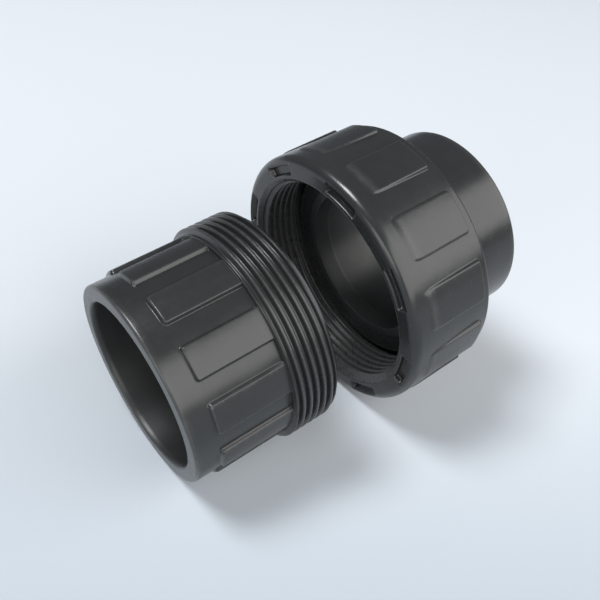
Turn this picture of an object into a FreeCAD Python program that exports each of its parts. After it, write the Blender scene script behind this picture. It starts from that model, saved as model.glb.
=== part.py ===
"""Pipe union for 50 mm solvent-weld pipe, apart on its axis: threaded end, seal, tailpiece and nut.

The pipe axis is X. The origin is the centre of the threaded end's socket mouth, the tailpiece is
towards +X, and Z is up. Sizes are millimetres.
"""
import FreeCAD
import Part
import math
import os

import Sketcher

SIZES = {
    # The pipe that is glued into both sockets.
    "socket_radius": 25.1,
    "socket_depth": 31.0,
    "socket_lead": 0.4,
    "waterway_radius": 22.8,
    # The thread is G 2 1/4: 65.71 mm across, 11 turns to the inch.
    "thread_pitch": 2.309,
    "male_major": 32.855,
    "male_minor": 31.376,
    "male_root_half": 0.75,
    "male_crest_half": 0.45,
    "male_crest_round": 0.13,
    "nut_major": 33.2,
    "nut_minor": 31.75,
    "nut_root_half": 0.52,
    "nut_crest_half": 0.2,
    "ridge_embed": 0.2,
    # Threaded end.
    "end_length": 44.3,
    "end_radius": 29.9,
    "end_round": 0.9,
    "end_pad_radius": 31.0,
    "end_pad_from": 7.2,
    "end_pad_length": 22.7,
    "end_pad_width": 17.3,
    "end_pad_angle": 13.0,
    "shoulder_from": 29.4,
    "thread_first": 30.15,
    "thread_last": 43.5,
    "nose_radius": 31.0,
    # Seal in the threaded end's face.
    "seal_radius": 27.5,
    "seal_cord_radius": 1.765,
    "seal_groove_width": 4.1,
    "seal_groove_depth": 2.95,
    # Nut.
    "nut_gap": 19.5,
    "nut_length": 29.8,
    "nut_front_radius": 40.4,
    "nut_rear_radius": 39.6,
    "nut_rim_round": 2.8,
    "nut_rear_round": 0.8,
    "nut_mouth_radius": 34.2,
    "nut_lip_depth": 24.6,
    "nut_lip_radius": 30.05,
    "nut_pad_radius": 40.7,
    "nut_pad_from": 6.8,
    "nut_pad_length": 20.1,
    "nut_pad_width": 18.0,
    "nut_pad_angle": 10.5,
    "nut_pad_round": 0.25,
    "nut_thread_turns_on": 15.5,
    "nut_thread_length": 11.8,
    "pocket_inner": 35.2,
    "pocket_outer": 37.9,
    "pocket_width": 19.0,
    "pocket_depth": 1.6,
    "pocket_angle": 12.0,
    # Tailpiece.
    "tail_seat_depth": 15.0,
    "tail_length": 36.8,
    "tail_radius": 29.65,
    "tail_chamfer": 0.6,
    "flange_radius": 31.1,
    "flange_length": 9.3,
    "flange_chamfer": 0.4,
    # Grip pads on the threaded end and on the nut.
    "pad_count": 12,
    "pad_embed": 1.5,
    "end_pad_round": 0.4,
    # Size of the cutters that make the cones at the two threads' mouths.
    "cutter_over": 1.0,
    "cutter_reach": 4.0,
}
POCKET_COUNT = 8
FAR = 60.0
# Where a sector's curves start, before its constraints place them.
START_RADII = (20.0, 30.0)
START_ANGLES = (10.0, 30.0)

doc = FreeCAD.newDocument("PipeUnion")


def make_sheet():
    """One spreadsheet cell for each driving dimension."""
    sheet = doc.addObject("Spreadsheet::Sheet", "Sizes")
    for row, (alias, value) in enumerate(SIZES.items(), 1):
        sheet.set(f"A{row}", str(value))
        sheet.setAlias(f"A{row}", alias)
    doc.recompute()
    return sheet


def bound(text):
    """An expression in which each known size name points at its cell."""
    words = text.split()
    return " ".join(f"Sizes.{word}" if word in SIZES else word for word in words)


def origin_plane(body, role):
    """The body's own origin plane or axis with this role."""
    return next(item for item in body.Origin.OriginFeatures if item.Role == role)


def make_body(label):
    """An empty body whose label names its file."""
    body = doc.addObject("PartDesign::Body", label)
    body.Label = label
    return body


def new_sketch(body, name, role, offset=None):
    """A sketch on one of the body's own origin planes, moved along its normal by offset."""
    sketch = body.newObject("Sketcher::SketchObject", name)
    sketch.AttachmentSupport = [(origin_plane(body, role), "")]
    sketch.MapMode = "FlatFace"
    if offset:
        sketch.setExpression("AttachmentOffset.Base.z", bound(offset))
    return sketch


def outline(body, name, corners):
    """A closed outline through corners, each an (along, radius) pair of expressions."""
    sketch = new_sketch(body, name, "XY_Plane")
    count = len(corners)
    places = []
    for i in range(count):
        turn = 2 * math.pi * i / count
        places.append(FreeCAD.Vector(FAR + 10 * math.cos(turn), FAR + 10 * math.sin(turn), 0))
    for i in range(count):
        sketch.addGeometry(Part.LineSegment(places[i], places[(i + 1) % count]), False)
    for i in range(count):
        sketch.addConstraint(Sketcher.Constraint("Coincident", i, 2, (i + 1) % count, 1))
    for i, (along, radius) in enumerate(corners):
        for kind, text, start in (("DistanceX", along, places[i].x), ("DistanceY", radius, places[i].y)):
            index = sketch.addConstraint(Sketcher.Constraint(kind, -1, 1, i, 1, start))
            sketch.setExpression(f"Constraints[{index}]", bound(text))
    return sketch


def revolve(body, name, corners, kind="PartDesign::Revolution"):
    """A full turn of an outline about the pipe axis, added to or cut from the body."""
    sketch = outline(body, f"{name}Outline", corners)
    feature = body.newObject(kind, name)
    feature.Profile = sketch
    feature.ReferenceAxis = (sketch, ["H_Axis"])
    feature.Angle = 360
    sketch.Visibility = False
    doc.recompute()
    return feature


def ridge(body, name, corners, length):
    """A right-hand helical ridge of the thread with this section."""
    sketch = outline(body, f"{name}Section", corners)
    feature = body.newObject("PartDesign::AdditiveHelix", name)
    feature.Profile = sketch
    feature.ReferenceAxis = (sketch, ["H_Axis"])
    feature.Mode = 0
    feature.setExpression("Pitch", bound("thread_pitch"))
    feature.setExpression("Height", bound(length))
    feature.LeftHanded = False
    doc.recompute()
    return feature


def sector(body, name, inner, outer, centre, width, offset):
    """A sector of a ring across the pipe axis, bound by its radii, its middle and its width."""
    sketch = new_sketch(body, name, "YZ_Plane", offset)
    start, end = (math.radians(angle) for angle in START_ANGLES)
    normal = FreeCAD.Vector(0, 0, 1)
    for radius in START_RADII:
        circle = Part.Circle(FreeCAD.Vector(0, 0, 0), normal, radius)
        sketch.addGeometry(Part.ArcOfCircle(circle, start, end), False)
    for angle in (start, end):
        way = FreeCAD.Vector(math.cos(angle), math.sin(angle), 0)
        sketch.addGeometry(Part.LineSegment(way * START_RADII[0], way * START_RADII[1]), False)
    for curve, radius in ((0, inner), (1, outer)):
        sketch.addConstraint(Sketcher.Constraint("Coincident", curve, 3, -1, 1))
        index = sketch.addConstraint(Sketcher.Constraint("Radius", curve, START_RADII[curve]))
        sketch.setExpression(f"Constraints[{index}]", bound(radius))
    for side, point in ((2, 1), (3, 2)):
        sketch.addConstraint(Sketcher.Constraint("Coincident", side, 1, 0, point))
        sketch.addConstraint(Sketcher.Constraint("Coincident", side, 2, 1, point))
    for side, sign, angle in ((2, "-", start), (3, "+", end)):
        sketch.addConstraint(Sketcher.Constraint("PointOnObject", -1, 1, side))
        index = sketch.addConstraint(Sketcher.Constraint("Angle", -1, 1, side, 1, angle))
        sketch.setExpression(f"Constraints[{index}]", bound(f"( {centre} {sign} {width} / 2 ) * 1 deg"))
    return sketch


def around(body, name, feature, count):
    """The feature repeated evenly about the pipe axis."""
    pattern = body.newObject("PartDesign::PolarPattern", name)
    pattern.Originals = [feature]
    pattern.Axis = (origin_plane(body, "X_Axis"), [""])
    pattern.Angle = 360
    if isinstance(count, str):
        pattern.setExpression("Occurrences", bound(count))
    else:
        pattern.Occurrences = count
    body.Tip = pattern
    doc.recompute()
    return pattern


def rounded(body, name, edges, radius):
    """A round of this radius on the edges that the test picks from the body's last feature."""
    base = body.Tip
    names = [f"Edge{i}" for i, edge in enumerate(base.Shape.Edges, 1) if edges(edge)]
    feature = body.newObject("PartDesign::Fillet", name)
    feature.Base = (base, names)
    feature.setExpression("Radius", bound(radius))
    doc.recompute()
    return feature


def off_axis(point):
    """Distance of a point from the pipe axis."""
    return math.hypot(point.y, point.z)


def at_radius(radius, low, high):
    """A test for edges that lie on a cylinder of this radius, between two places along the axis."""
    def test(edge):
        middle = edge.valueAt((edge.FirstParameter + edge.LastParameter) / 2)
        near = abs(off_axis(middle) - radius) < 0.01 and edge.Length < 30
        return near and low - 0.01 < middle.x < high + 0.01
    return test


def full_circle(place, radius):
    """A test for the circle about the pipe axis at this place and radius."""
    def test(edge):
        ends = edge.BoundBox
        flat = abs(ends.XMin - place) < 0.01 and abs(ends.XMax - place) < 0.01
        return flat and abs(ends.YMax - radius) < 0.01 and abs(ends.ZMin + radius) < 0.01
    return test


def grip_pads(body, kind, start, base):
    """Twelve raised pads around a body, from this place along it, standing on this radius."""
    section = sector(
        body, "PadSection", f"{base} - pad_embed", f"{kind}_pad_radius", f"{kind}_pad_angle",
        f"{kind}_pad_width", start
    )
    pad = body.newObject("PartDesign::Pad", "GripPad")
    pad.Profile = section
    pad.setExpression("Length", bound(f"{kind}_pad_length"))
    doc.recompute()
    return around(body, "GripPads", pad, "pad_count")


def threaded_end():
    """The half with the male thread: a socket at the left, the seal's groove at the right."""
    body = make_body("threaded_end")
    groove_inner = "seal_radius - seal_groove_width / 2"
    groove_outer = "seal_radius + seal_groove_width / 2"
    groove_floor = "end_length - seal_groove_depth"
    revolve(body, "Barrel", [
        ("0", "socket_radius + socket_lead"),
        ("0", "end_radius"),
        ("shoulder_from", "end_radius"),
        ("shoulder_from", "male_minor"),
        ("end_length", "male_minor"),
        ("end_length", groove_outer),
        (groove_floor, groove_outer),
        (groove_floor, groove_inner),
        ("end_length", groove_inner),
        ("end_length", "waterway_radius"),
        ("socket_depth", "waterway_radius"),
        ("socket_depth", "socket_radius"),
        ("socket_lead", "socket_radius"),
    ])
    rounded(body, "FrontRound", full_circle(0, SIZES["end_radius"]), "end_round")
    grip_pads(body, "end", "end_pad_from", "end_radius")
    pad_edges = at_radius(SIZES["end_pad_radius"], SIZES["end_pad_from"], SIZES["shoulder_from"] - 1)
    rounded(body, "PadRounds", pad_edges, "end_pad_round")
    crest = "male_major - male_crest_round"
    ridge(body, "Thread", [
        ("thread_first - male_root_half", "male_minor - ridge_embed"),
        ("thread_first + male_root_half", "male_minor - ridge_embed"),
        ("thread_first + male_crest_half", crest),
        ("thread_first + male_crest_half - male_crest_round", "male_major"),
        ("thread_first - male_crest_half + male_crest_round", "male_major"),
        ("thread_first - male_crest_half", crest),
    ], "thread_last - thread_first")
    revolve(body, "NoseChamfer", [
        ("end_length + cutter_over", "nose_radius - cutter_over"),
        ("end_length + cutter_over", "nose_radius + cutter_reach"),
        ("end_length - cutter_reach", "nose_radius + cutter_reach"),
    ], "PartDesign::Groove")
    return body


def union_nut():
    """The ring nut: a thread in its mouth, and a lip behind the tailpiece's flange."""
    body = make_body("union_nut")
    face = "end_length + nut_gap"
    revolve(body, "Ring", [
        (face, "nut_major"),
        (face, "nut_front_radius"),
        (f"{face} + nut_rim_round * 2", "nut_front_radius"),
        (f"{face} + nut_length", "nut_rear_radius"),
        (f"{face} + nut_length", "nut_lip_radius"),
        (f"{face} + nut_lip_depth", "nut_lip_radius"),
        (f"{face} + nut_lip_depth", "nut_major"),
    ])
    place = SIZES["end_length"] + SIZES["nut_gap"]
    rounded(body, "RimRound", full_circle(place, SIZES["nut_front_radius"]), "nut_rim_round")
    rear = place + SIZES["nut_length"]
    rounded(body, "RearRound", full_circle(rear, SIZES["nut_rear_radius"]), "nut_rear_round")
    grip_pads(body, "nut", f"{face} + nut_pad_from", "nut_rear_radius")
    low = place + SIZES["nut_pad_from"]
    pad_edges = at_radius(SIZES["nut_pad_radius"], low, low + SIZES["nut_pad_length"])
    rounded(body, "PadRounds", pad_edges, "nut_pad_round")
    first = "thread_first + nut_thread_turns_on * thread_pitch"
    ridge(body, "Thread", [
        (f"{first} - nut_root_half", "nut_major + ridge_embed"),
        (f"{first} - nut_crest_half", "nut_minor"),
        (f"{first} + nut_crest_half", "nut_minor"),
        (f"{first} + nut_root_half", "nut_major + ridge_embed"),
    ], "nut_thread_length")
    revolve(body, "MouthChamfer", [
        (f"{face} - cutter_over", "nut_mouth_radius + cutter_over"),
        (f"{face} + cutter_reach", "nut_mouth_radius - cutter_reach"),
        (f"{face} - cutter_over", "nut_mouth_radius - cutter_reach"),
    ], "PartDesign::Groove")
    section = sector(
        body, "PocketSection", "pocket_inner", "pocket_outer", "pocket_angle", "pocket_width", face
    )
    pocket = body.newObject("PartDesign::Pocket", "FacePocket")
    pocket.Profile = section
    pocket.Reversed = True
    pocket.setExpression("Length", bound("pocket_depth"))
    doc.recompute()
    around(body, "FacePockets", pocket, POCKET_COUNT)
    return body


def tailpiece():
    """The half without a thread: a flange that the nut's lip pulls on, and a plain socket."""
    body = make_body("tailpiece")
    seat = "end_length + nut_gap + tail_seat_depth"
    back = f"{seat} + flange_length"
    rear = f"{seat} + tail_length"
    socket_end = f"{rear} - socket_depth"
    revolve(body, "Barrel", [
        (seat, "waterway_radius"),
        (seat, "flange_radius - flange_chamfer"),
        (f"{seat} + flange_chamfer", "flange_radius"),
        (f"{back} - flange_chamfer", "flange_radius"),
        (back, "flange_radius - flange_chamfer"),
        (back, "tail_radius"),
        (f"{rear} - tail_chamfer", "tail_radius"),
        (rear, "tail_radius - tail_chamfer"),
        (rear, "socket_radius + socket_lead"),
        (f"{rear} - socket_lead", "socket_radius"),
        (socket_end, "socket_radius"),
        (socket_end, "waterway_radius"),
    ])
    return body


def o_ring():
    """The seal, lying on the floor of the threaded end's groove."""
    ring = doc.addObject("Part::Torus", "o_ring")
    ring.Label = "o_ring"
    ring.setExpression("Radius1", bound("seal_radius"))
    ring.setExpression("Radius2", bound("seal_cord_radius"))
    ring.Placement = FreeCAD.Placement(
        FreeCAD.Vector(0, 0, 0), FreeCAD.Rotation(FreeCAD.Vector(0, 1, 0), 90)
    )
    centre = "end_length - seal_groove_depth + seal_cord_radius"
    ring.setExpression("Placement.Base.x", bound(centre))
    doc.recompute()
    return ring


def write_parts(pieces):
    """Check the whole document, then write one STEP file for each piece."""
    doc.recompute()
    for item in doc.Objects:
        if "Invalid" in item.State or "Error" in item.State:
            raise RuntimeError(f"{item.Label} failed: {item.State}")
    os.makedirs("parts", exist_ok=True)
    for piece in pieces:
        shape = piece.Shape
        if shape.isNull() or not shape.isValid() or len(shape.Solids) != 1:
            raise RuntimeError(f"{piece.Label} is not one sound solid")
        shape.exportStep(f"parts/{piece.Label}.step")
        box = shape.BoundBox
        print(f"{piece.Label}: {shape.Volume:.0f} mm3, X {box.XMin:.2f} to {box.XMax:.2f}")


make_sheet()
write_parts([threaded_end(), o_ring(), tailpiece(), union_nut()])
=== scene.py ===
"""Looks of a plastic pipe union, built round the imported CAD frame: three glossy mouldings and a rubber seal.

Lengths are in millimetres along the pipe axis and out from it, as in the frame, until a mesh is made.
"""

import math

import bpy
import numpy as np
from mathutils import Matrix, Vector


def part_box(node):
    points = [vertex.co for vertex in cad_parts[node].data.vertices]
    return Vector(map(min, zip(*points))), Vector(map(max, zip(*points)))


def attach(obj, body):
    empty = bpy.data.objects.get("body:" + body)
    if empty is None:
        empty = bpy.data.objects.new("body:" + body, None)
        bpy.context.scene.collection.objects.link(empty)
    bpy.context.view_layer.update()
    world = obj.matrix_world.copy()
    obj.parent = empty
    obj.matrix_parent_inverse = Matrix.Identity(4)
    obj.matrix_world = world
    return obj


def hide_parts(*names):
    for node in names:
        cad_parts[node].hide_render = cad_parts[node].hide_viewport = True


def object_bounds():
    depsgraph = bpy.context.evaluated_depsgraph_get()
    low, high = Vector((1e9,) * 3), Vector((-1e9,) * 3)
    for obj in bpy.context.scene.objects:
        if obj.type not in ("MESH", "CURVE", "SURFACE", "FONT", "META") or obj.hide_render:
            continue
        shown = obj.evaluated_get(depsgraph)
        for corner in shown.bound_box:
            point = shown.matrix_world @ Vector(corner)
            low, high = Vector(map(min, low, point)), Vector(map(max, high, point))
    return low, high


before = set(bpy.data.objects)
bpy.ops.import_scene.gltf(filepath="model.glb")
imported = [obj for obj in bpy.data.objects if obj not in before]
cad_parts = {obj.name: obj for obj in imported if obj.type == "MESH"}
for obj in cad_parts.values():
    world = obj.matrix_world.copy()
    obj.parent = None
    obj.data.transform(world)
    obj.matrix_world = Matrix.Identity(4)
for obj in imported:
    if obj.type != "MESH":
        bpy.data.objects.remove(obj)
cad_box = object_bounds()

MM = 0.001

DEGREE = math.radians(1)

# On a section, an arc has a point at least this often, and points closer than this are one.
ARC_STEP = math.radians(15)
SAME_PLACE = 1e-4

# How far the table goes from the object, in metres.
TABLE_REACH = 1.3

# Both threads follow one right-hand helix, G 2 1/4. The phase places the male crest.
PITCH = 2.309
CREST_PHASE = 0.3076

# The socket is the same in both ends, and so is the waterway beyond it.
SOCKET = {"mouth": 25.5, "radius": 25.1, "depth": 31.0}
WATERWAY = 22.8

# Spacing, middle and width of the pads and pockets are in degrees round the axis.
PAD_STEP = 30.0
POCKET_STEP = 45.0
POCKET_CENTRE = 12.0
POCKET_WIDTH = 19.0
POCKET_RADII = (35.2, 37.9)
POCKET_DEPTH = 1.6

END = {
    "skin": 29.9, "front_round": 0.9, "shoulder": 29.4, "root": 31.376, "crest": 32.855,
    "length": 44.3, "nose": 31.0, "groove": (25.45, 29.55), "groove_floor": 41.35,
    "pad_from": 7.2, "pad_centre": 13.0, "pad_width": 17.3, "pad_radius": 31.0,
}
NUT = {
    "face": 63.8, "length": 29.8, "skin": 40.4, "front_round": 2.8, "mouth": 34.2,
    "minor": 31.75, "major": 33.2, "thread_to": 14.6, "lip": 30.05, "lip_from": 24.6,
    "pads": (70.6, 90.7), "pad_centre": 10.5, "pad_width": 18.0, "pad_radius": 40.7,
}
TAIL = {"seat": 78.8, "rear": 115.6, "skin": 29.65, "flange": 31.1, "flange_length": 9.3}

CHARCOAL = (0.0185, 0.0193, 0.0195)


def smooth(value):
    """0 below 0, 1 above 1, and an S-shaped step in between."""
    t = np.clip(value, 0.0, 1.0)
    return t * t * (3 - 2 * t)


def outline(corners):
    """A closed section line through corners of (along, out, rounding, spacing).

    The spacing is that of the points on the run to the next corner.
    """
    count = len(corners)
    places = [np.array(c[:2], float) for c in corners]
    trims = []
    for i, corner in enumerate(corners):
        back = places[i - 1] - places[i]
        on = places[(i + 1) % count] - places[i]
        back, on = back / np.linalg.norm(back), on / np.linalg.norm(on)
        half = math.acos(np.clip(back @ on, -1, 1)) / 2
        cut = corner[2] / math.tan(half) if corner[2] else 0.0
        trims.append((back, on, half, cut))
    line = []
    for i, corner in enumerate(corners):
        back, on, half, cut = trims[i]
        here, radius = places[i], corner[2]
        if radius:
            inward = (back + on) / np.linalg.norm(back + on)
            centre = here + inward * radius / math.sin(half)
            start, end = here + back * cut - centre, here + on * cut - centre
            turn = math.pi - 2 * half
            steps = max(3, math.ceil(turn / ARC_STEP))
            for k in range(steps + 1):
                a = turn * k / steps
                line.append(centre + (math.sin(turn - a) * start + math.sin(a) * end) / math.sin(turn))
        else:
            line.append(here)
        first = here + on * cut
        last = places[(i + 1) % count] - on * trims[(i + 1) % count][3]
        steps = max(1, math.ceil(np.linalg.norm(last - first) / corner[3]))
        line += [first + (last - first) * k / steps for k in range(1, steps)]
    kept = [line[0]]
    for point in line[1:]:
        if np.linalg.norm(point - kept[-1]) > SAME_PLACE:
            kept.append(point)
    return np.array(kept)


def columns(edges, coarse=2.0, fine=0.3, reach=1.2):
    """Angles round the axis in degrees, close together near the given edges."""
    marks = set()
    for edge in edges:
        marks.update(np.round(np.arange(edge - reach, edge + reach, fine), 4) % 360)
    angles = []
    for mark in sorted(marks):
        if not angles or mark - angles[-1] > fine / 2:
            angles.append(mark)
    filled = []
    for i, angle in enumerate(angles):
        ahead = angles[(i + 1) % len(angles)] + (360 if i + 1 == len(angles) else 0)
        steps = max(1, math.ceil((ahead - angle) / coarse - 1e-6))
        filled += [angle + (ahead - angle) * k / steps for k in range(steps)]
    return np.array(filled)


def edges_of(step, centre, width):
    """Both sides of each of the evenly spaced sectors."""
    count = round(360 / step)
    return [(centre + step * k + side * width / 2) % 360 for k in range(count) for side in (-1, 1)]


def off_centre(theta, step, centre):
    """How many degrees each angle lies from the middle of its nearest sector."""
    return np.abs((theta - centre + step / 2) % step - step / 2)


def inside(theta, step, centre, width, radius):
    """Distance in from the sides of each angle's nearest sector, along an arc of this radius."""
    return (width / 2 - off_centre(theta, step, centre)) * DEGREE * radius


def band(value, middle, width):
    """1 in the middle of a soft-edged band and 0 well outside it."""
    return np.exp(-((value - middle) / width) ** 2)


def plate(along_in, side_in, corner, blur):
    """1 well inside a rounded plate and 0 outside it, and how far out of it each point lies.

    The points are given by their distances in from the plate's ends and from its sides.
    """
    a, b = corner - along_in, corner - side_in
    out = np.hypot(np.maximum(a, 0), np.maximum(b, 0)) + np.minimum(np.maximum(a, b), 0) - corner
    return smooth(0.5 - out / blur), out


def thread(x, theta):
    """Height of the rounded thread form, 1 on the male crest and 0 in the male root."""
    phase = x / PITCH - theta / 360 - CREST_PHASE
    wave = 0.5 + 0.5 * np.cos(2 * np.pi * phase)
    return smooth(wave * 1.08 - 0.04)


def lathe(name, section, angles, shift):
    """A closed ring swept from a section, each point moved along and out by shift, with a mask of paler places
    and painted light.
    """
    x, r = section[:, 0][:, None], section[:, 1][:, None]
    theta = angles[None, :]
    along, out, paling_and_painted_light = shift(x, r, theta)
    x, r = x + along + 0 * theta, r + out + 0 * theta
    turn = np.radians(theta)
    points = np.stack([x, r * np.cos(turn), r * np.sin(turn)], -1) * MM
    rows, cols = x.shape
    index = np.arange(rows * cols).reshape(rows, cols)
    below, right = np.roll(index, -1, 0), np.roll(index, -1, 1)
    corner = np.roll(below, -1, 1)
    faces = np.stack([index, right, corner, below], -1).reshape(-1, 4)
    mesh = bpy.data.meshes.new(name)
    mesh.vertices.add(rows * cols)
    mesh.vertices.foreach_set("co", points.astype(np.float32).ravel())
    mesh.loops.add(faces.size)
    mesh.loops.foreach_set("vertex_index", faces.astype(np.int32).ravel())
    mesh.polygons.add(len(faces))
    mesh.polygons.foreach_set("loop_start", np.arange(0, faces.size, 4, dtype=np.int32))
    mesh.polygons.foreach_set("loop_total", np.full(len(faces), 4, np.int32))
    mesh.update(calc_edges=True)
    mesh.validate()
    mesh.shade_smooth()
    mask = mesh.attributes.new("paling_and_painted_light", "FLOAT", "POINT")
    mask.data.foreach_set("value", np.broadcast_to(paling_and_painted_light, x.shape).astype(np.float32).ravel())
    made = bpy.data.objects.new(name, mesh)
    bpy.context.scene.collection.objects.link(made)
    return made


def threaded_end():
    """Socket, twelve grip pads, male thread and the seal's groove."""
    skin, shoulder, length = END["skin"], END["shoulder"], END["length"]
    floor_x, (low, high) = END["groove_floor"], END["groove"]
    section = outline([
        (0.0, SOCKET["mouth"], 0.0, 0.6),
        (0.0, skin, END["front_round"], 1.5),
        (6.2, skin, 0.0, 0.17),
        (8.4, skin, 0.0, 1.6),
        (shoulder, skin, 0.15, 2.0),
        (shoulder, END["root"], 0.1, 0.165),
        (length, END["root"], 0.0, 2.0),
        (length, 30.85, 0.0, 0.7),
        (length, high, 0.15, 0.5),
        (floor_x, high, 0.2, 0.7),
        (floor_x, low, 0.2, 0.5),
        (length, low, 0.15, 0.5),
        (length, WATERWAY, 0.3, 1.4),
        (SOCKET["depth"], WATERWAY, 0.3, 0.5),
        (SOCKET["depth"], SOCKET["radius"], 0.2, 1.6),
        (0.4, SOCKET["radius"], 0.0, 0.2),
    ])
    angles = columns(edges_of(PAD_STEP, END["pad_centre"], END["pad_width"]))

    def shift(x, r, theta):
        barrel = (r > 29.3) & (x > 5) & (x < shoulder + 0.05)
        side = inside(theta, PAD_STEP, END["pad_centre"], END["pad_width"], 30.5)
        raised, out = plate(x - END["pad_from"], side, 0.9, 0.75)
        pad = np.where(barrel, raised * np.clip(END["pad_radius"] - r, 0, None), 0.0)
        screw = (r > 31) & (x > shoulder - 0.01)
        nose = END["nose"] + length - x
        ridge = thread(x, theta) * smooth((x - shoulder) / 0.5)
        height = np.minimum(r + (END["crest"] - END["root"]) * ridge, nose) - r
        height = np.where(screw, height, 0.0)
        rim = smooth((1.1 - x) / 0.6) * (r > 25.2)
        paling_and_painted_light = np.where(barrel, band(out, -0.32, 0.22), 0.0) * 0.6
        paling_and_painted_light = paling_and_painted_light + np.where(screw, smooth((ridge - 0.8) / 0.2), 0.0) * 0.5 + rim * 0.9
        return 0.0, pad + height, paling_and_painted_light

    return lathe("threaded_end_moulding", section, angles, shift)


def union_nut():
    """Ring nut: thread in its mouth, pockets in its face, twelve grip pads and a rear lip."""
    face, rear = NUT["face"], NUT["face"] + NUT["length"]
    minor, major = NUT["minor"], NUT["major"]
    section = outline([
        (face, NUT["mouth"], 0.0, 0.35),
        (face, 35.0, 0.0, 0.15),
        (face, NUT["skin"], NUT["front_round"], 0.4),
        (face + 5.6, NUT["skin"], 0.0, 0.22),
        (face + 8.2, 40.331, 0.0, 1.6),
        (face + 25.7, 39.735, 0.0, 0.18),
        (face + 28.0, 39.657, 0.0, 0.4),
        (rear, 39.6, 0.8, 1.2),
        (rear, NUT["lip"], 0.3, 0.8),
        (face + NUT["lip_from"], NUT["lip"], 0.3, 0.5),
        (face + NUT["lip_from"], major, 0.5, 1.2),
        (face + NUT["thread_to"], major, 0.0, 0.19),
    ])
    pads = edges_of(PAD_STEP, NUT["pad_centre"], NUT["pad_width"])
    pockets = edges_of(POCKET_STEP, POCKET_CENTRE, POCKET_WIDTH)
    angles = columns(pads + pockets)

    def shift(x, r, theta):
        shell = (r > 38) & (x > face + 4)
        side = inside(theta, PAD_STEP, NUT["pad_centre"], NUT["pad_width"], 40.5)
        ends = np.minimum((x - NUT["pads"][0]) * 0.3, NUT["pads"][1] - x)
        raised, out = plate(ends, side, 0.9, 0.7)
        pad = np.where(shell, raised * np.clip(NUT["pad_radius"] - r, 0, None), 0.0)
        front = (x < face + 0.05) & (r > 34.6)
        across = np.minimum(r - POCKET_RADII[0], POCKET_RADII[1] - r)
        around = inside(theta, POCKET_STEP, POCKET_CENTRE, POCKET_WIDTH, 36.5)
        sunk, lip = plate(across, around, 0.5, 0.45)
        pocket = np.where(front, sunk * POCKET_DEPTH, 0.0)
        bored = r < NUT["mouth"] + 0.1
        cone = NUT["mouth"] + face - x
        wall = minor + (major - minor) * thread(x, theta)
        wall = wall + (major - wall) * smooth((x - face - 13.4) / 1.2)
        screw = bored & (x < face + NUT["thread_to"])
        bore = np.where(screw, np.maximum(wall, cone) - r, 0.0)
        paling_and_painted_light = np.where(shell, band(out, -0.3, 0.22), 0.0) * 0.6
        paling_and_painted_light = paling_and_painted_light + np.where(front, band(lip, 0.2, 0.18), 0.0) * 0.15
        # Painted light: the nut's whole mouth and thread are paled, to lighten the shade that falls inside it.
        paling_and_painted_light = paling_and_painted_light + np.where(bored & (x < face + 24.5), 0.7, 0.0)
        return pocket, pad + bore, paling_and_painted_light

    return lathe("union_nut_moulding", section, angles, shift)


def tailpiece():
    """Flange that the nut pulls on, plain barrel and socket."""
    seat, rear, skin, flange = TAIL["seat"], TAIL["rear"], TAIL["skin"], TAIL["flange"]
    back, stop = seat + TAIL["flange_length"], rear - SOCKET["depth"]
    section = outline([
        (seat, WATERWAY, 0.15, 0.8),
        (seat, flange, 0.4, 1.0),
        (back, flange, 0.4, 0.5),
        (back, skin, 0.15, 1.6),
        (rear, skin, 0.7, 0.8),
        (rear, SOCKET["mouth"], 0.0, 0.2),
        (rear - 0.4, SOCKET["radius"], 0.0, 1.6),
        (stop, SOCKET["radius"], 0.2, 0.5),
        (stop, WATERWAY, 0.25, 1.0),
    ])

    def shift(x, r, theta):
        rims = band(x, rear - 0.4, 0.5) * (r > 29) + band(x, seat + 0.1, 0.3) * (r > 30.6)
        return 0.0, 0.0, rims * 0.6 + 0 * theta

    return lathe("tailpiece_moulding", section, np.arange(0, 360, 1.25), shift)


def seal_ring():
    """O-ring with the thin flash line of its mould."""
    low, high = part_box("o_ring")
    cord = (high.x - low.x) / 2 / MM
    centre_x, centre_r = (high.x + low.x) / 2 / MM, high.z / MM - cord
    turns = np.linspace(0, 2 * np.pi, 48, endpoint=False)
    section = np.stack([centre_x + cord * np.cos(turns), centre_r + cord * np.sin(turns)], -1)

    def shift(x, r, theta):
        flash = band(x, centre_x, 0.12) * 0.03
        return 0.0, -flash * np.sign(r - centre_r), 0 * x * theta

    return lathe("seal_ring", section[::-1], np.arange(0, 360, 1.5), shift)


def add(tree, kind, settings=None, **links):
    """A shader node with its settings, and its inputs set to values or linked to other nodes' outputs.

    An input is named by its label, with _ for a space, or as i and its number.
    """
    made = tree.nodes.new(kind)
    for key, value in (settings or {}).items():
        setattr(made, key, value)
    for key, value in links.items():
        numbered = key[0] == "i" and key[1:].isdigit()
        socket = made.inputs[int(key[1:]) if numbered else key.replace("_", " ")]
        if isinstance(value, bpy.types.NodeSocket):
            tree.links.new(value, socket)
        else:
            socket.default_value = value
    return made


def span(tree, value, low, high, to_low, to_high):
    """A value carried from one range to another."""
    made = add(
        tree, "ShaderNodeMapRange", {"clamp": True}, Value=value,
        From_Min=low, From_Max=high, To_Min=to_low, To_Max=to_high,
    )
    return made.outputs["Result"]


def mixed(tree, share, first, second):
    """The first colour, which turns into the second as the share goes from 0 to 1."""
    return add(tree, "ShaderNodeMix", {"data_type": "RGBA"}, i0=share, i6=first, i7=second).outputs[2]


def joined(tree, operation, *values):
    """What a maths node makes of these values."""
    inputs = {f"i{k}": value for k, value in enumerate(values)}
    return add(tree, "ShaderNodeMath", {"operation": operation}, **inputs).outputs[0]


def noise(tree, place, scale, detail, roughness=0.5):
    """Cloudy noise, mostly between 0.3 and 0.7."""
    made = add(tree, "ShaderNodeTexNoise", Vector=place, Scale=scale, Detail=detail, Roughness=roughness)
    return made.outputs["Fac"]


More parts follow.
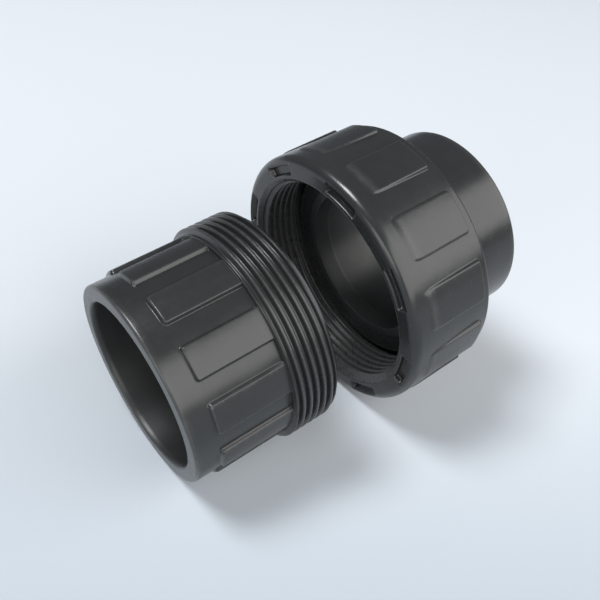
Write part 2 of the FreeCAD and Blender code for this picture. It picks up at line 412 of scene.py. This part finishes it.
def bump(tree, height, strength, distance, **under):
    """Relief from a pattern, this many metres deep, over the relief under it."""
    made = add(tree, "ShaderNodeBump", Strength=strength, Distance=distance, Height=height, **under)
    return made.outputs[0]


def blank(name):
    """A new material, its node tree and its shader."""
    made = bpy.data.materials.new(name)
    made.use_nodes = True
    return made, made.node_tree, made.node_tree.nodes["Principled BSDF"]


def plastic(name, base, offset):
    """Satin-gloss moulded PVC: cloudy colour, fine skin, gentle waves, faint dust, and paler edges, rims and
    crests from the mesh's mask, which also carries painted light in the nut's shaded mouth.

    The offset is where a moulding's pattern starts, so that no two are alike.
    """
    made, tree, shader = blank(name)
    place = add(tree, "ShaderNodeTexCoord").outputs["Object"]
    start = (offset, -offset, offset * 2)
    moved = add(tree, "ShaderNodeMapping", Vector=place, Location=start).outputs["Vector"]
    cloud = noise(tree, moved, 55.0, 4.0, 0.6)
    swirl = noise(tree, moved, 420.0, 3.0, 0.65)
    skin = noise(tree, moved, 2600.0, 2.0)
    wave = noise(tree, moved, 95.0, 1.0)
    dust = add(tree, "ShaderNodeTexVoronoi", {"feature": "F1"}, Vector=moved, Scale=340.0)
    # This mask pales pad edges, rims and thread crests, and carries painted light that pales the shaded inside
    # of the nut.
    paling_and_painted_light_mask = add(tree, "ShaderNodeAttribute", {"attribute_name": "paling_and_painted_light"}).outputs["Fac"]

    dark, light = [(*(c * share for c in base), 1) for share in (0.9, 1.1)]
    cloudy = mixed(tree, span(tree, cloud, 0.3, 0.7, 0, 1), dark, light)
    streaky_paling_and_painted_light = joined(tree, "MULTIPLY", paling_and_painted_light_mask, span(tree, swirl, 0.35, 0.65, 0.65, 1))
    pale = (base[0] * 3.2, base[1] * 3.1, base[2] * 3.0, 1)
    edged = mixed(tree, span(tree, streaky_paling_and_painted_light, 0, 1, 0, 0.7), cloudy, pale)
    specks = span(tree, dust.outputs["Distance"], 0.015, 0.035, 0.2, 0)
    dusty = mixed(tree, specks, edged, (0.16, 0.16, 0.155, 1))
    tree.links.new(dusty, shader.inputs["Base Color"])

    gloss = joined(tree, "ADD", span(tree, swirl, 0.3, 0.7, 0.22, 0.28), span(tree, streaky_paling_and_painted_light, 0, 1, 0, 0.08))
    across = add(tree, "ShaderNodeVectorMath", {"operation": "MULTIPLY"}, i0=place, i1=(0, 1, 1))
    radius = add(tree, "ShaderNodeVectorMath", {"operation": "LENGTH"}, i0=across.outputs["Vector"])
    # The sockets and the waterway are duller than the outside.
    bore = span(tree, radius.outputs["Value"], 0.0252, 0.0256, 1, 0)
    tree.links.new(joined(tree, "MULTIPLY_ADD", bore, 0.15, gloss), shader.inputs["Roughness"])

    fine = bump(tree, skin, 0.12, 0.00005)
    mid = bump(tree, swirl, 0.15, 0.0001, Normal=fine)
    tree.links.new(bump(tree, wave, 0.35, 0.0004, Normal=mid), shader.inputs["Normal"])
    shader.inputs["IOR"].default_value = 1.52
    shader.inputs["Specular IOR Level"].default_value = 0.4
    return made


def rubber(name):
    """Matt black EPDM with a soft bloom and a fine grain."""
    made, tree, shader = blank(name)
    place = add(tree, "ShaderNodeTexCoord").outputs["Object"]
    bloom = noise(tree, place, 140.0, 5.0, 0.65)
    grain = noise(tree, place, 3200.0, 2.0)
    black, grey = (0.008, 0.008, 0.009, 1), (0.022, 0.022, 0.023, 1)
    tree.links.new(mixed(tree, span(tree, bloom, 0.35, 0.7, 0, 1), black, grey), shader.inputs["Base Color"])
    tree.links.new(span(tree, bloom, 0.3, 0.7, 0.42, 0.6), shader.inputs["Roughness"])
    tree.links.new(bump(tree, grain, 0.35, 0.00008), shader.inputs["Normal"])
    shader.inputs["Specular IOR Level"].default_value = 0.4
    return made


def place(piece, finish, body, node, slot):
    """Gives a piece its material and its CAD body, and hides the CAD node that it stands for."""
    piece.data.materials.append(finish)
    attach(piece, body)
    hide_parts(node)


def floor():
    """A pale table that both loose halves lie on: it meets the threaded end's front rim and the nut's."""
    end_low, nut_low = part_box("threaded_end")[0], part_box("union_nut")[0]
    front = Vector((end_low.x + END["front_round"] * MM, 0, -END["skin"] * MM))
    rim = Vector((nut_low.x + NUT["front_round"] * MM, 0, -NUT["skin"] * MM))
    far = (rim - front).normalized() * TABLE_REACH
    side = Vector((0, TABLE_REACH, 0))
    corners = [front - far - side, front + far - side, front + far + side, front - far + side]
    mesh = bpy.data.meshes.new("table")
    mesh.from_pydata(corners, [], [(0, 1, 2, 3)])
    made = bpy.data.objects.new("table", mesh)
    bpy.context.scene.collection.objects.link(made)
    finish, tree, shader = blank("table_white")
    place = add(tree, "ShaderNodeTexCoord").outputs["Object"]
    # Painted shade: the table darkens towards the camera's side and pales away from it, standing in for the
    # lamps' fall-off.
    depth = add(tree, "ShaderNodeVectorMath", {"operation": "DOT_PRODUCT"}, i0=place, i1=(0.58, 0.81, 0))
    share = span(tree, depth.outputs["Value"], -0.06, 0.06, 0, 1)
    near_painted_shade, far_painted_light = (0.36, 0.4, 0.445, 1), (0.53, 0.555, 0.59, 1)
    tree.links.new(mixed(tree, share, near_painted_shade, far_painted_light), shader.inputs["Base Color"])
    shader.inputs["Roughness"].default_value = 0.7
    shader.inputs["Specular IOR Level"].default_value = 0.2
    mesh.materials.append(finish)


def softbox(name, towards, distance, size, power, colour):
    """A rectangular light this far from the object's middle, facing it."""
    data = bpy.data.lights.new(name, "AREA")
    data.shape = "RECTANGLE"
    data.size, data.size_y = size
    data.energy = power
    data.color = colour
    made = bpy.data.objects.new(name, data)
    bpy.context.scene.collection.objects.link(made)
    middle = (cad_box[0] + cad_box[1]) / 2
    way = Vector(towards).normalized()
    made.location = middle + way * distance
    made.rotation_mode = "QUATERNION"
    made.rotation_quaternion = way.to_track_quat("Z", "Y")


def studio():
    """A long softbox on the camera's side, one overhead, a weak one facing the sockets, and a surround.

    The surround lights the object dimly, and looks pale where the camera sees it.
    """
    softbox("key", (0.35, -1.0, 0.62), 2.2, (4.4, 2.0), 98.0, (1.0, 0.99, 0.965))
    softbox("top", (-0.35, 0.45, 1.6), 2.4, (0.8, 0.8), 56.0, (0.95, 0.98, 1.0))
    softbox("fill", (-1.0, -0.35, 0.45), 2.2, (1.4, 1.0), 16.0, (1.0, 0.99, 0.96))
    world = bpy.data.worlds.new("studio")
    bpy.context.scene.world = world
    world.use_nodes = True
    tree = world.node_tree
    back = tree.nodes["Background"]
    back.inputs["Color"].default_value = (0.82, 0.9, 1.0, 1)
    seen = add(tree, "ShaderNodeLightPath").outputs["Is Camera Ray"]
    tree.links.new(span(tree, seen, 0, 1, 0.18, 0.86), back.inputs["Strength"])


def camera():
    """The photograph's view: above and in front of the threaded end, rolled a little."""
    data = bpy.data.cameras.new("camera")
    data.sensor_width = 36
    data.lens = 45.6
    data.clip_start = 0.01
    made = bpy.data.objects.new("camera", data)
    bpy.context.scene.collection.objects.link(made)
    right = Vector((0.79635, -0.60409, -0.03003))
    up = Vector((0.43907, 0.54323, 0.71562))
    back = Vector((-0.41599, -0.58307, 0.69784))
    turn = Matrix((right, up, back)).transposed().to_4x4()
    spot = Vector((-39.97, -133.19, 158.1)) * MM
    made.matrix_world = Matrix.Translation(spot) @ turn
    bpy.context.scene.camera = made


place(threaded_end(), plastic("end_moulding", CHARCOAL, 0.0), "threaded_end", "threaded_end", "end_pvc")
place(union_nut(), plastic("nut_moulding", CHARCOAL, 1.7), "union_nut", "union_nut", "nut_pvc")
place(tailpiece(), plastic("tail_moulding", CHARCOAL, 3.1), "tailpiece", "tailpiece", "tail_pvc")
place(seal_ring(), rubber("seal_rubber_skin"), "threaded_end", "o_ring", "seal_rubber")
floor()
studio()
camera()
bpy.context.scene.view_settings.view_transform = "Standard"
